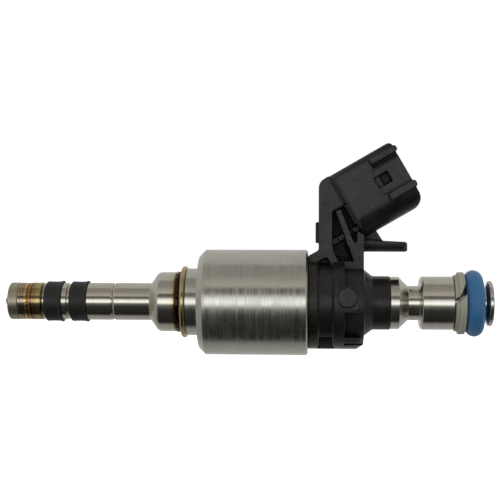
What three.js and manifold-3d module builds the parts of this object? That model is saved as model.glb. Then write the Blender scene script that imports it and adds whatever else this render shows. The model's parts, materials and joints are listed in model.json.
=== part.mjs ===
// A direct-injection petrol injector, built as the bench would see it: a steel valve group with a
// needle and a free armature, a solenoid, a fuel inlet with its seals, and a moulded two-pin connector.
// Millimetres. +X runs along the injector from its tip to its inlet, +Z points to the connector.
// The origin is on the axis, in the plane of the solenoid can's front shoulder.
import * as THREE from 'three';
import { mergeVertices } from 'three/addons/utils/BufferGeometryUtils.js';
import Module from 'manifold-3d';

// ---------------------------------------------------------------- driving dimensions

const FINEST = 36; // facets round the solenoid can
const FINE = 28; // facets round the other outside surfaces
const MEDIUM = 20; // facets round a bore or an inner piece
const COARSE = 16; // facets round a pin, a ball or a small ring
const AIR = 0.05; // gap between coaxial pieces that are pressed or welded in the real thing
const CAST_GAP = 0.3; // gap round a piece that is moulded in

const TIP = { apex: -38.7, face: -37.7, capEnd: -35.68, radius: 3.64, domeRadius: 1.05, edge: 0.4 };
const SEAT = {
  rear: -33.4, spigotRadius: 2.6, chamberRadius: 1.75, coneRear: -35.2, coneFront: -36.65, sacRadius: 0.4,
  sacFront: -37.6, sacEnd: -37.9, holes: 6, holeRadius: 0.14, holeLean: 27,
};
const NOZZLE = {
  radius: 3.65, frontRadius: 3.62, dipRadius: 3.57, stepRadius: 3.2, grooveRadius: 3.0, bore: 2.0,
  frontBore: 2.65, frontBoreEnd: -31.5, seamX: -16.9, seamRadius: 3.43, seamHalf: 0.3, landRadius: 3.5,
};
const SPIGOT = { front: -19.3, radius: 2.72, bore: 2.8, boreEnd: -19.5 };
const SEAL = { length: 3.27, inner: 3.06, waist: 3.87, front: 3.94, flare: 4.06, xs: [-30.33, -25.35] };
const BODY = {
  coneStart: -9.63, coneAngle: 53.5, round: 1.27, roundEnd: -7.4, radius: 5.8, beadFront: -4.55, beadRadius: 5.9,
  rear: -3.62,
};
const COLLAR = { front: -3.5, rear: -2.5, inner: 5.45, radius: 7.0, edge: 0.42 };
const SLEEVE = {
  front: -6.8, spigotRadius: 4.28, neckRadius: 6.55, neckEnd: 1.9, thinRadius: 5.4, bore: 4.35, needleBore: 2.7,
  chamberFloor: 0.6, rear: 7.6,
};
const GUIDES = { lower: [-33.2, -31.6, 2.58], upper: [-5.4, -3.6, 2.62], bore: 1.06, slotRadius: 0.5, slots: 4 };
const CAN = { radius: 10.25, faceRadius: 9.05, chamfer: 1.2, inner: 8.8, frontWall: 2.0, rear: 21.03 };
const CORE = { noseX: 8.35, noseRadius: 4.25, radius: 5.4, bore: 2.15, rear: 19.3 };
const RING = { front: 7.65, rear: 10.25 };
const COIL = { front: 2.1, rear: 17.3, hub: 6.1, hubBore: 5.5, flange: 8.6, flangeThickness: 0.8 };
const WASHER = { front: 17.4, rear: 20.0, inner: 5.5, radius: 8.7 };
const NEEDLE = { radius: 1.0, front: -33.53, rear: 9.9, ballRadius: 1.4, ballX: -34.98 };
const NEEDLE_COLLARS = { lower: [0.9, 1.5, 2.5], upper: [8.24, 9.0, 1.9] };
const ARMATURE = { front: 3.4, rear: 8.18, radius: 4.2, bore: 1.08, holes: 6, holeCircle: 2.7, holeRadius: 0.55 };
const ARMATURE_SPRING = { front: 1.55, rear: 3.35, radius: 1.75, wire: 0.35, turns: 2.5 };
const RETURN_SPRING = { front: 9.05, rear: 15.45, radius: 1.5, wire: 0.5, turns: 6 };
const ADJUSTER = { front: 15.5, rear: 21.5, inner: 1.45, outer: 2.05, slotHalf: 0.3 };
const MOULD = {
  front: 20.1, radius: 8.95, channelRadius: 8.35, channel: [22.92, 26.03], bandEnd: 28.0, rear: 31.85,
  coneRadius: 6.45, coneEnd: 33.5, neckRadius: 5.2, neckEnd: 36.83, bore: 4.1, spigotRadius: 8.65, webHalf: 1.0,
  bracketHalf: 4.3, chamferStart: 30.4, chamferEnd: 31.8, chamferRadius: 8.03,
  rearRadius: 7.9,
};
const PAD = {
  low: -1.52, high: 3.53, footTop: -8.12, finZs: [-7.36, -6.73], finHalf: 0.16, bossX: 28.53, bossZ: 1.31,
  bossRadius: 1.8,
};
const INLET = {
  front: 19.4, stem: 4.0, bore: 2.3, collarRadius: 5.08, collarEnd: 38.52, clipFront: 40.35, clipRear: 42.55,
  clipRadius: 3.35, barrelRadius: 5.15, barrelEnd: 48.9, neckRadius: 3.05, neckEnd: 55.0, lipFront: 55.35,
  lipRadius: 4.42, rear: 56.5,
};
const O_RING = { x: 52.97, outer: 6.4, section: 1.65 };
const BACKUP = {
  front: 49.2, rear: 51.2, thinEnd: 49.9, thin: 5.43, thick: 6.0, inner: 3.2, cutHalf: 0.11, cutSkew: 28,
  cutAngle: 62,
};
const FILTER = { front: 44.0, rear: 55.2, plug: 0.8, collar: 1.6, radius: 2.22, meshRadius: 1.68, ribs: 3 };

// The plug leans back from the inlet end. u runs out of its mouth, v across it, both from a point on
// the injector's axis.
const PLUG = {
  originX: 9.7, tilt: Math.PI / 6, back: 25.7, floor: 28.05, mouth: 38.82, low: -0.15, high: 13.4,
  halfDepth: 4.75, wall: 1.5, upperCorner: 0.9, lowerCorner: 4.2, bladePitch: 4.4, bladeTip: 33.0,
};
const RIBS = { spans: [[11.15, 12.44], [3.4, 4.85]], start: 33.45, overrun: 0.45, height: 0.6 };
const POST = { front: 23.1, rear: 25.72, webRear: 31.75 };
const ARM = { low: 9.95, rootTop: 12.25, tipTop: 11.83, tip: 40.1, half: 2.4 };
const LEAD = { width: 1.2, thickness: 0.6, sideY: 1.5, z: 7.4, postX: 24.42 };
const SHELL_FRONT = CAN.rear + 0.07; // where the moulding widens behind the can

// ---------------------------------------------------------------- solids

const wasm = await Module();
wasm.setup();

const asSolid = (geometry) => {
  const bare = geometry.clone();
  bare.deleteAttribute('normal');
  bare.deleteAttribute('uv');
  const merged = mergeVertices(bare, 1e-4);
  const triangles = [];
  for (let i = 0; i < merged.index.count; i += 3) {
    const [a, b, c] = [0, 1, 2].map((k) => merged.index.getX(i + k));
    if (a !== b && b !== c && c !== a) triangles.push(a, b, c);
  }
  return new wasm.Manifold(new wasm.Mesh({
    numProp: 3,
    vertProperties: new Float32Array(merged.attributes.position.array),
    triVerts: new Uint32Array(triangles),
  }));
};

const asGeometry = (solid) => {
  const mesh = solid.getMesh();
  const geometry = new THREE.BufferGeometry();
  geometry.setAttribute('position', new THREE.BufferAttribute(new Float32Array(mesh.vertProperties), 3));
  geometry.setIndex(new THREE.BufferAttribute(new Uint32Array(mesh.triVerts), 1));
  const faceted = geometry.toNonIndexed();
  faceted.computeVertexNormals();
  return faceted;
};

const join = (first, ...others) => others.reduce((all, next) => all.add(asSolid(next)), asSolid(first));
const cut = (solid, ...cutters) => cutters.reduce((left, next) => left.subtract(asSolid(next)), solid);

// A body of revolution about the injector's axis, from [x, radius] points that run up its outside and
// back down its inside.
const turned = (profile, facets = MEDIUM) => {
  const points = profile.map(([x, radius]) => new THREE.Vector2(radius, x));
  if (profile[0][1] > 0) points.push(points[0].clone());
  return new THREE.LatheGeometry(points, facets).rotateZ(-Math.PI / 2);
};

const tube = (front, rear, inner, outer, facets = MEDIUM) =>
  turned([[front, inner], [front, outer], [rear, outer], [rear, inner]], facets);

// Points [x, radius] round a circle of the given size, between two angles in degrees.
const arc = (x, radius, size, from, to, steps) => Array.from({ length: steps + 1 }, (_, i) => {
  const angle = THREE.MathUtils.degToRad(from + ((to - from) * i) / steps);
  return [x + size * Math.cos(angle), radius + size * Math.sin(angle)];
});

const block = (low, high) => new THREE.BoxGeometry(...high.map((value, i) => value - low[i]))
  .translate(...high.map((value, i) => (value + low[i]) / 2));

// A plate whose outline is drawn in X and Z, from yLow to yHigh.
const plate = (outline, yLow, yHigh) => {
  const shape = outline instanceof THREE.Shape
    ? outline
    : new THREE.Shape(outline.map(([x, z]) => new THREE.Vector2(x, z)));
  return new THREE.ExtrudeGeometry(shape, { depth: yHigh - yLow, bevelEnabled: false, curveSegments: 4 })
    .translate(0, 0, -yHigh)
    .rotateX(Math.PI / 2);
};

// The same cutter turned to count even places round the axis.
const around = (count, make) => Array.from(
  { length: count },
  (_, i) => make().rotateX((i * 2 * Math.PI) / count),
);

const onBothSides = (make, inner, outer) => [make(-outer, -inner), make(inner, outer)];

// ---------------------------------------------------------------- the assembly

const injector = new THREE.Group();

const add = (name, shape, color, roughness, metalness) => {
  const geometry = shape instanceof THREE.BufferGeometry ? shape : asGeometry(shape);
  const mesh = new THREE.Mesh(geometry, new THREE.MeshStandardMaterial({ color, roughness, metalness }));
  mesh.name = name;
  injector.add(mesh);
};

const addSteel = (name, shape) => add(name, shape, 0xb4b2ab, 0.35, 1);
const addBlackPlastic = (name, shape) => add(name, shape, 0x2b2b2d, 0.6, 0);
const addSpringSteel = (name, shape) => add(name, shape, 0x8f9194, 0.3, 1);

// ---------------------------------------------------------------- valve group

// Domed tip with a conical seat, a sac and spray holes that fan out from it.
function valveSeat() {
  const height = TIP.face - TIP.apex;
  const sphere = (TIP.domeRadius ** 2 + height ** 2) / (2 * height);
  const spread = THREE.MathUtils.radToDeg(Math.asin(TIP.domeRadius / sphere));
  const dome = arc(TIP.apex + sphere, 0, sphere, 180, 180 - spread, 4);
  dome[0][1] = 0;
  const blank = join(turned([
    ...dome, ...arc(TIP.face + TIP.edge, TIP.radius - TIP.edge, TIP.edge, 180, 90, 2),
    [TIP.capEnd, TIP.radius], [TIP.capEnd, SEAT.spigotRadius], [SEAT.rear, SEAT.spigotRadius],
    [SEAT.rear, SEAT.chamberRadius], [SEAT.coneRear, SEAT.chamberRadius], [SEAT.coneFront, SEAT.sacRadius],
    [SEAT.sacFront, SEAT.sacRadius], [SEAT.sacEnd, 0],
  ], MEDIUM));
  const holeLength = 2.4;
  const lean = THREE.MathUtils.degToRad(SEAT.holeLean);
  const sprayHoles = around(SEAT.holes, () => new THREE.CylinderGeometry(
    SEAT.holeRadius, SEAT.holeRadius, holeLength, 6,
  ).translate(0, holeLength / 2, 0).rotateZ(Math.PI / 2 - lean).translate(SEAT.sacFront + 0.25, 0, 0));
  addSteel('valve_seat', cut(blank, ...sprayHoles));
}

// Front half of the nozzle, with one groove for each combustion seal.
function nozzleBody() {
  const [frontSeal, rearSeal] = SEAL.xs;
  const play = 0.1;
  const weldDip = [[-34.6, NOZZLE.frontRadius], [-34.2, NOZZLE.dipRadius], [-33.6, NOZZLE.dipRadius]];
  const tipStep = frontSeal - 0.67;
  const landEnd = rearSeal - 0.65;
  const outside = [
    [TIP.capEnd + AIR, NOZZLE.frontBore], [TIP.capEnd + AIR, NOZZLE.frontRadius], ...weldDip,
    [-33.3, NOZZLE.radius], [tipStep, NOZZLE.radius], [tipStep + AIR, NOZZLE.stepRadius],
    [frontSeal - 0.3, NOZZLE.stepRadius], [frontSeal - 0.25, NOZZLE.landRadius],
    [frontSeal - play, NOZZLE.landRadius], [frontSeal - play, NOZZLE.grooveRadius],
    [frontSeal + SEAL.length + AIR, NOZZLE.grooveRadius],
    [frontSeal + SEAL.length + AIR, NOZZLE.frontRadius], [landEnd, NOZZLE.frontRadius],
    [landEnd + AIR, NOZZLE.stepRadius], [rearSeal - 0.3, NOZZLE.stepRadius], [rearSeal - 0.25, NOZZLE.landRadius],
    [rearSeal - play, NOZZLE.landRadius], [rearSeal - play, NOZZLE.grooveRadius],
    [rearSeal + SEAL.length + AIR, NOZZLE.grooveRadius],
    [rearSeal + SEAL.length + AIR, NOZZLE.radius], [NOZZLE.seamX - NOZZLE.seamHalf, NOZZLE.radius],
    [NOZZLE.seamX - AIR, NOZZLE.seamRadius],
  ];
  const inside = [
    [NOZZLE.seamX - AIR, SPIGOT.bore], [SPIGOT.boreEnd, SPIGOT.bore], [SPIGOT.boreEnd, NOZZLE.bore],
    [NOZZLE.frontBoreEnd, NOZZLE.bore], [NOZZLE.frontBoreEnd, NOZZLE.frontBore],
  ];
  addSteel('nozzle_body', turned([...outside, ...inside], FINE));
}

// Rear half of the nozzle, which widens to the welded joint in front of the collar.
function valveBody() {
  const shoulder = arc(BODY.roundEnd, BODY.radius - BODY.round, BODY.round, 90 + BODY.coneAngle, 90, 2);
  const counterbore = SLEEVE.spigotRadius + 0.07;
  const outside = [
    [SPIGOT.front, NOZZLE.bore], [SPIGOT.front, SPIGOT.radius], [NOZZLE.seamX, SPIGOT.radius],
    [NOZZLE.seamX, NOZZLE.seamRadius], [NOZZLE.seamX + NOZZLE.seamHalf, NOZZLE.radius],
    [BODY.coneStart, NOZZLE.radius], ...shoulder, [BODY.beadFront, BODY.radius],
    [BODY.beadFront + 0.25, BODY.beadRadius], [BODY.rear - 0.2, BODY.beadRadius], [BODY.rear, BODY.radius],
  ];
  const inside = [
    [BODY.rear, counterbore], [SLEEVE.front - 0.2, counterbore], [SLEEVE.front - 0.2, 3.3],
    [BODY.roundEnd - 0.6, 3.3], [BODY.coneStart, NOZZLE.bore],
  ];
  addSteel('valve_body', turned([...outside, ...inside], FINE));
}

// A hard sleeve with a waist and a flared rear lip.
function combustionSeal(name, front) {
  const rear = front + SEAL.length;
  const edge = 0.16;
  add(name, turned([
    [front, SEAL.inner], [front, SEAL.front - edge], [front + edge, SEAL.front],
    [front + SEAL.length * 0.55, SEAL.waist], [rear - 0.5, SEAL.waist + 0.05], [rear - edge, SEAL.flare],
    [rear, SEAL.flare - edge], [rear, SEAL.inner],
  ], MEDIUM), 0x232325, 0.7, 0);
}

// A disc that guides the needle and lets fuel past through slots in its rim.
function needleGuide(name, [front, rear, outer]) {
  const slots = around(GUIDES.slots, () => new THREE.CylinderGeometry(
    GUIDES.slotRadius, GUIDES.slotRadius, rear - front + 1, 8,
  ).rotateZ(Math.PI / 2).translate((front + rear) / 2, 0, outer));
  addSteel(name, cut(join(tube(front, rear, GUIDES.bore, outer, MEDIUM)), ...slots));
}

// Joins the nozzle to the can, and holds the armature's chamber.
function valveSleeve() {
  const neckFront = COLLAR.rear + AIR;
  const spigotEnd = COLLAR.front - 0.07;
  addSteel('valve_sleeve', turned([
    [SLEEVE.front, SLEEVE.needleBore], [SLEEVE.front, SLEEVE.spigotRadius], [spigotEnd, SLEEVE.spigotRadius],
    [spigotEnd, SLEEVE.thinRadius], [neckFront, SLEEVE.thinRadius], [neckFront, SLEEVE.neckRadius],
    [SLEEVE.neckEnd, SLEEVE.neckRadius], [SLEEVE.neckEnd, SLEEVE.thinRadius], [SLEEVE.rear, SLEEVE.thinRadius],
    [SLEEVE.rear, SLEEVE.bore], [SLEEVE.chamberFloor, SLEEVE.bore], [SLEEVE.chamberFloor, SLEEVE.needleBore],
  ], MEDIUM));
}

function collarRing() {
  const { front, rear, inner, radius, edge } = COLLAR;
  addSteel('collar_ring', turned([
    [front, inner], ...arc(front + edge, radius - edge, edge, 180, 90, 2),
    ...arc(rear - edge, radius - edge, edge, 90, 0, 2), [rear, inner],
  ], FINE));
}

// The needle, its ball and the two collars that it carries.
function needleGroup() {
  const { radius, front, rear, ballRadius, ballX } = NEEDLE;
  const edge = 0.25;
  addSteel('valve_needle', turned([
    [front, 0], [front, radius], [rear - edge, radius], [rear, radius - edge], [rear, 0],
  ], COARSE));
  const ball = new THREE.SphereGeometry(ballRadius, COARSE, 10).rotateZ(Math.PI / 2).translate(ballX, 0, 0);
  addSteel('needle_ball', join(ball));
  for (const [place, [collarFront, collarRear, outer]] of Object.entries(NEEDLE_COLLARS)) {
    addSteel(`needle_${place}_collar`, tube(collarFront, collarRear, radius + AIR, outer, COARSE));
  }
}

// The armature slides a little on the needle, between its two collars.
function armature() {
  const { front, rear, radius, bore, holes, holeCircle, holeRadius } = ARMATURE;
  const edge = 0.3;
  const blank = join(turned([
    [front, bore], [front, radius - edge], [front + edge, radius], [rear - edge, radius], [rear, radius - edge],
    [rear, bore],
  ], MEDIUM));
  const fuelHoles = around(holes, () => new THREE.CylinderGeometry(holeRadius, holeRadius, rear - front + 1, 6)
    .rotateZ(Math.PI / 2)
    .translate((front + rear) / 2, 0, holeCircle));
  addSteel('armature', cut(blank, ...fuelHoles));
}

class Coil extends THREE.Curve {
  constructor(front, rear, radius, turns) {
    super();
    Object.assign(this, { front, rear, radius, turns });
  }

  getPoint(t) {
    const angle = 2 * Math.PI * this.turns * t;
    const x = THREE.MathUtils.lerp(this.front, this.rear, t);
    return new THREE.Vector3(x, this.radius * Math.cos(angle), this.radius * Math.sin(angle));
  }
}

function spring(name, { front, rear, radius, wire, turns }) {
  const stepsPerTurn = 10;
  const section = new THREE.Shape();
  section.absarc(0, 0, wire / 2, 0, 2 * Math.PI);
  const extrudePath = new Coil(front + wire / 2, rear - wire / 2, radius, turns);
  const steps = Math.round(turns * stepsPerTurn);
  addSpringSteel(name, new THREE.ExtrudeGeometry(section, { extrudePath, steps, curveSegments: 3 }));
}

// ---------------------------------------------------------------- solenoid

function poleCore() {
  const { noseX, noseRadius, radius, bore, rear } = CORE;
  addSteel('pole_core', turned([
    [noseX, bore], [noseX, noseRadius], [RING.rear + AIR, noseRadius], [RING.rear + AIR, radius],
    [rear, radius], [rear, bore],
  ], MEDIUM));
  addSteel('non_magnetic_ring', tube(RING.front, RING.rear, noseRadius + 0.09, radius, MEDIUM));
}

// A rolled, slotted tube pressed into the core, which sets the spring's preload.
function adjustingSleeve() {
  const { front, rear, inner, outer, slotHalf } = ADJUSTER;
  const slot = block([front - 1, -slotHalf, inner / 2], [rear + 1, slotHalf, outer + 1]);
  addSpringSteel('adjusting_sleeve', cut(join(tube(front, rear, inner, outer, COARSE)), slot));
}

function solenoidCan() {
  const { radius, faceRadius, chamfer, inner, frontWall, rear } = CAN;
  const neckHole = SLEEVE.neckRadius + 0.12;
  const edge = 0.35;
  addSteel('solenoid_can', turned([
    [0, neckHole], [0, faceRadius], [chamfer, radius], [rear - edge, radius], [rear, radius - edge],
    [rear, inner], [frontWall, inner], [frontWall, neckHole],
  ], FINEST));
}

function coil() {
  const { front, rear, hub, hubBore, flange, flangeThickness } = COIL;
  add('coil_bobbin', turned([
    [front, hubBore], [front, flange], [front + flangeThickness, flange], [front + flangeThickness, hub],
    [rear - flangeThickness, hub], [rear - flangeThickness, flange], [rear, flange], [rear, hubBore],
  ], MEDIUM), 0x3a3733, 0.6, 0);
  const inset = flangeThickness + 0.1;
  const winding = tube(front + inset, rear - inset, hub + 0.1, flange - 0.3, MEDIUM);
  add('coil_winding', winding, 0xb0642c, 0.35, 1);
}

function fluxWasher() {
  const { front, rear, inner, radius } = WASHER;
  const leadSlot = block([front - 1, -LEAD.sideY - 1, LEAD.z - 1], [rear + 1, LEAD.sideY + 1, radius + 1]);
  addSteel('flux_washer', cut(join(tube(front, rear, inner, radius, MEDIUM)), leadSlot));
}

// ---------------------------------------------------------------- fuel inlet

function inletTube() {
  const t = INLET;
  const edge = 0.4;
  const footEnd = t.front + 0.6;
  const collarFront = MOULD.neckEnd + AIR;
  addSteel('inlet_tube', turned([
    [t.front, t.bore], [t.front, CORE.radius], [footEnd, CORE.radius], [footEnd, t.stem],
    [collarFront, t.stem], [collarFront, t.collarRadius], [t.collarEnd, t.collarRadius],
    [t.clipFront, t.clipRadius], [t.clipRear, t.clipRadius], [t.clipRear, t.barrelRadius - 0.5],
    [t.clipRear + 0.45, t.barrelRadius], [t.barrelEnd, t.barrelRadius], [t.barrelEnd, t.neckRadius],
    [t.neckEnd, t.neckRadius], ...arc(t.lipFront + edge, t.lipRadius - edge, edge, 165, 90, 2),
    ...arc(t.rear - edge, t.lipRadius - edge, edge, 90, 0, 2), [t.rear, t.bore],
  ], FINE));
}

// A moulded cage that holds the mesh stocking of the inlet filter.
function inletFilter() {
  const { front, rear, plug, collar, radius, meshRadius, ribs } = FILTER;
  const play = 0.1;
  const rings = [
    tube(rear - collar, rear, radius - 0.47, radius, COARSE), tube(front, front + plug, 0.6, 2, COARSE),
  ];
  const bars = around(ribs, () => block(
    [front + plug / 2, -0.3, meshRadius + play], [rear - collar / 2, 0.3, radius - play],
  ));
  add('filter_cage', join(...rings, ...bars), 0xc9c4b0, 0.55, 0);
  const mesh = tube(front + plug + play, rear - collar - play, meshRadius - 0.18, meshRadius, COARSE);
  add('filter_mesh', mesh, 0x9a9a98, 0.5, 1);
}

// A hard ring behind the O-ring, with a skew cut so that it opens over the tube's lip.
function backupRing() {
  const { front, rear, thinEnd, thin, thick, inner, cutHalf, cutSkew, cutAngle } = BACKUP;
  const edge = 0.15;
  const ring = join(turned([
    [front, inner], [front, thin], [thinEnd, thin], [thinEnd, thick - edge], [thinEnd + edge, thick],
    [rear - edge, thick], [rear, thick - edge], [rear, inner],
  ], FINE));
  const skewCut = block([-3, -cutHalf, 0], [3, cutHalf, 8])
    .rotateZ(THREE.MathUtils.degToRad(cutSkew))
    .translate((front + rear) / 2, 0, 0)
    .rotateX(THREE.MathUtils.degToRad(cutAngle));
  add('inlet_backup_ring', cut(ring, skewCut), 0xa19a8c, 0.6, 0);
}

function inletORing() {
  const { x, outer, section } = O_RING;
  const facets = 12;
  const profile = arc(x, outer - section, section, 180, -180, facets).slice(0, -1);
  add('inlet_o_ring', turned(profile, FINE), 0x2f63ad, 0.45, 0);
}

// ---------------------------------------------------------------- connector

const tiltCos = Math.cos(PLUG.tilt);
const tiltSin = Math.sin(PLUG.tilt);

// Moves a solid from plug axes (v, y, u) into place.
const inPlug = (geometry) => geometry.applyMatrix4(new THREE.Matrix4()
  .makeBasis(
    new THREE.Vector3(-tiltSin, 0, tiltCos),
    new THREE.Vector3(0, -1, 0),
    new THREE.Vector3(tiltCos, 0, tiltSin),
  )
  .setPosition(PLUG.originX, 0, 0));

const plugPoint = (u, v) => [PLUG.originX + u * tiltCos - v * tiltSin, u * tiltSin + v * tiltCos];

// The plug's section: a rectangle with two tight corners above and two wide ones below.
function plugSection(inset) {
  const low = PLUG.low + inset;
  const high = PLUG.high - inset;
  const side = PLUG.halfDepth - inset;
  const wide = PLUG.lowerCorner - inset;
  const tight = Math.max(PLUG.upperCorner - inset, 0.3);
  const shape = new THREE.Shape();
  shape.absarc(low + wide, side - wide, wide, Math.PI / 2, Math.PI);
  shape.absarc(low + wide, wide - side, wide, Math.PI, 1.5 * Math.PI);
  shape.absarc(high - tight, tight - side, tight, -Math.PI / 2, 0);
  shape.absarc(high - tight, side - tight, tight, 0, Math.PI / 2);
  return shape;
}

const plugPrism = (inset, from, to) => inPlug(
  new THREE.ExtrudeGeometry(plugSection(inset), { depth: to - from, bevelEnabled: false, curveSegments: 4 })
    .translate(0, 0, from),
);

const plugBlock = ([v0, v1], [y0, y1], [u0, u1]) => inPlug(block([v0, y0, u0], [v1, y1, u1]));

// Round part of the moulding, behind the can and along the inlet tube.
function mouldBarrel() {
  const m = MOULD;
  const [channelFront, channelRear] = m.channel;
  return turned([
    [m.front, m.bore], [m.front, m.spigotRadius], [SHELL_FRONT, m.spigotRadius], [SHELL_FRONT, m.radius],
    [channelFront, m.radius], [channelFront, m.channelRadius], [channelRear, m.channelRadius],
    [channelRear, m.radius], [m.bandEnd, m.radius], [m.bandEnd, m.rearRadius], [m.rear - 0.1, m.rearRadius],
    [m.rear, m.rearRadius - 0.1], [m.rear, m.coneRadius], [m.coneEnd, m.neckRadius], [m.neckEnd, m.neckRadius],
    [m.neckEnd, m.bore],
  ], FINE);
}

// The rear band, kept only where the side pads, the fins and the foot stand proud.
function rearPads() {
  const { radius, bandEnd, rear, chamferStart, chamferEnd, chamferRadius } = MOULD;
  const band = asSolid(tube(bandEnd - 0.2, rear, 7.5, radius, FINE))
    .intersect(asSolid(turned([
      [bandEnd - 1, 0], [bandEnd - 1, radius + 1], [bandEnd, radius + 1], [chamferStart, radius],
      [chamferEnd, chamferRadius], [rear + 1, chamferRadius - 0.7], [rear + 1, 0],
    ], FINE)));
  const fins = PAD.finZs.map((z) => block([27.7, -7, z - PAD.finHalf], [31.1, 7, z + PAD.finHalf]));
  const keep = [
    ...onBothSides((low, high) => block([27.7, low, PAD.low], [33, high, PAD.high]), 5, 10),
    block([27.7, -5.4, -10], [33, 5.4, PAD.footTop]), ...fins,
  ];
  return keep.map((region) => band.intersect(asSolid(region)));
}

// Side outline of the bracket that carries the plug: saddle, post and rear web in one.
function bracketOutline() {
  const buried = 5;
  const shape = new THREE.Shape();
  shape.moveTo(SHELL_FRONT, buried);
  shape.lineTo(SHELL_FRONT, 9.1);
  shape.lineTo(POST.front, 10.2);
  shape.lineTo(POST.front, 22.3);
  shape.quadraticCurveTo(POST.front, 24.0, 24.8, 24.35);
  shape.lineTo(...plugPoint(PLUG.back + 1, PLUG.high - 0.6));
  shape.lineTo(...plugPoint(PLUG.back + 1, PLUG.low + 1));
  shape.lineTo(POST.webRear, 13.25);
  shape.lineTo(POST.webRear, buried);
  return shape;
}

// Open pockets leave the bracket as a frame of ribs on a middle web, so that it moulds without sinks.
function bracket() {
  const { bracketHalf, webHalf } = MOULD;
  const besidePost = [
    [POST.rear, 10.9], [POST.rear, 17.6], plugPoint(PLUG.back - 0.35, 7.27), plugPoint(PLUG.back - 0.35, 3),
    [32.9, 15.2], [32.9, 12.95], [31.76, 13.2], [30.96, 13.62], [30.45, 13.9], [30.45, 11.85], [30.1, 11.5],
    [30.1, 8.0], [26.85, 8.0], [26.1, 9.6],
  ];
  const betweenFeet = [[22.92, 6.4], [22.92, 8.0], [24.75, 8.85], [25.95, 6.65]];
  const pockets = [[besidePost, webHalf], [betweenFeet, bracketHalf - 1]];
  const cutters = pockets.flatMap(([outline, floor]) => onBothSides(
    (low, high) => plate(outline, low, high), floor, bracketHalf + 3,
  ));
  const strutOutline = [[26.37, 17.72], [27.31, 18.1], [29.6, 12.15], [30.2, 11.6], [30.2, 7.8], [30.02, 7.8]];
  const strut = plate(strutOutline, -bracketHalf, bracketHalf);
  return cut(join(plate(bracketOutline(), -bracketHalf, bracketHalf)), ...cutters).add(asSolid(strut));
}

// Finger that clocks the injector in its rail cup, with the gusset above it.
function clockingArm() {
  const { low, rootTop, tipTop, tip, half } = ARM;
  const root = POST.webRear - 0.2;
  const edge = 0.5;
  const finger = new THREE.Shape();
  finger.moveTo(root, low);
  finger.lineTo(tip - edge, low);
  finger.quadraticCurveTo(tip, low, tip, low + edge);
  finger.lineTo(tip, tipTop - edge);
  finger.quadraticCurveTo(tip, tipTop, tip - edge, tipTop);
  finger.lineTo(root, rootTop);
  const gusset = [[root, rootTop - 0.2], [35.5, rootTop - 0.2], plugPoint(28.2, 0.3), plugPoint(26.2, 0.3)];
  return [plate(finger, -half, half), plate(gusset, 0.8 - half, half - 0.8)];
}

// Guide ribs along the plug's sides, which run a little past its mouth.
const plugRibs = () => RIBS.spans.flatMap((span) => onBothSides(
  (low, high) => plugBlock(span, [low, high], [RIBS.start, PLUG.mouth + RIBS.overrun]),
  PLUG.halfDepth - 0.5, PLUG.halfDepth + RIBS.height,
));

// What is taken off the plug's lower and upper lips so that they end in a round.
function lipReliefs() {
  const { mouth, low, high, halfDepth } = PLUG;
  return [[low, 1, 1.4], [high, -1, 0.9]].map(([edge, way, size]) => {
    const round = arc(0, 0, size, -90, 0, 3).map(([u, v]) => [mouth - size + u, edge + way * (size + v)]);
    const outline = [
      [mouth - size, edge - way], ...round, [mouth + 1, edge + way * size], [mouth + 1, edge - way],
    ];
    return plate(outline.map(([u, v]) => plugPoint(u, v)), -halfDepth - 1, halfDepth + 1);
  });
}

const plugMiddle = (PLUG.low + PLUG.high) / 2;
const leads = [
  { name: 'upper', side: 1, v: plugMiddle + PLUG.bladePitch / 2 },
  { name: 'lower', side: -1, v: plugMiddle - PLUG.bladePitch / 2 },
];

// A stamped strip from the coil, up the post and along to its blade. With a gap it is the hollow that
// the strip lies in.
function leadBlocks({ side, v }, gap) {
  const half = LEAD.width / 2 + gap;
  const thick = LEAD.thickness / 2 + gap;
  const y = side * LEAD.sideY;
  const startX = COIL.rear + 0.1 - gap;
  const [postFront, postRear] = [LEAD.postX - half, LEAD.postX + half];
  const turnZ = (v + (LEAD.postX - PLUG.originX) * tiltSin) / tiltCos;
  const turnU = (LEAD.postX - PLUG.originX) * tiltCos + turnZ * tiltSin;
  return [
    block([startX, y - thick, LEAD.z - half], [postRear, y + thick, LEAD.z + half]),
    block([postFront, y - thick, LEAD.z - half], [postRear, y + thick, turnZ + half]),
    block([postFront, Math.min(y, 0) - thick, turnZ - half], [postRear, Math.max(y, 0) + thick, turnZ + half]),
    plugBlock([v - half, v + half], [-thick, thick], [turnU, PLUG.back + 0.2 + gap]),
  ];
}

const bladeBlock = ({ v }, gap) => plugBlock(
  [v - 1.1 - gap, v + 1.1 + gap], [-0.3 - gap, 0.3 + gap], [PLUG.back + 0.5 - gap, PLUG.bladeTip + gap],
);

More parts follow.
